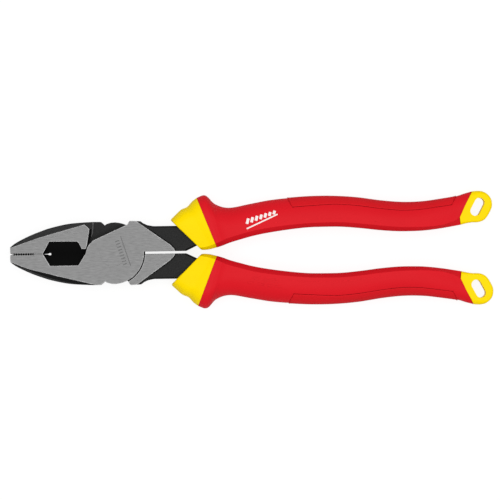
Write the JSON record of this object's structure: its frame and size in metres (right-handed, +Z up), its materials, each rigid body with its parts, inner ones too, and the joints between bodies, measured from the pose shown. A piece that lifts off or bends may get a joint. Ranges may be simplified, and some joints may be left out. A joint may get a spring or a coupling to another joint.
{
  "type": "insulated lineman's pliers",
  "caption": "Closed lineman's pliers with blunt serrated jaws, a hexagonal wire cutter, a lap joint and insulated handles with flared guards and hang loops.",
  "frame": {"origin": "middle of the outline of the closed tool lying flat, on its lowest face", "axes": "+X along the handles away from the jaws, +Y across the handles, +Z up through the joint, along the pivot axis"},
  "size_m": [0.246, 0.0582, 0.024],
  "materials": {
    "ground_steel": "forged steel, ground bright on the flat faces and black oxide on the forged edges, recess and tangs",
    "rivet_steel": "ground flush with the head",
    "inner_insulation": "satin yellow moulded plastic",
    "outer_insulation": "satin red moulded plastic",
    "grip_inlay": "fine-grained red soft plastic",
    "white_print": "plain printed bars"
  },
  "bodies": {
    "front_half": {"front_jaw_and_tang": "ground_steel", "pivot_rivet": "rivet_steel", "upper_inner_insulation": "inner_insulation", "upper_hang_loop": "inner_insulation", "upper_outer_grip": "outer_insulation", "upper_grip_inlay": "grip_inlay"},
    "rear_half": {"rear_jaw_and_tang": "ground_steel", "lower_inner_insulation": "inner_insulation", "lower_hang_loop": "inner_insulation", "lower_outer_grip": "outer_insulation", "lower_grip_inlay": "grip_inlay"}
  },
  "joints": [
    {"name": "jaw_pivot", "type": "hinge", "parent": "front_half", "child": "rear_half", "pos_m": [-0.0706, 0, 0.012], "axis": [0, 0, -1], "range_deg": [0, 46]}
  ]
}
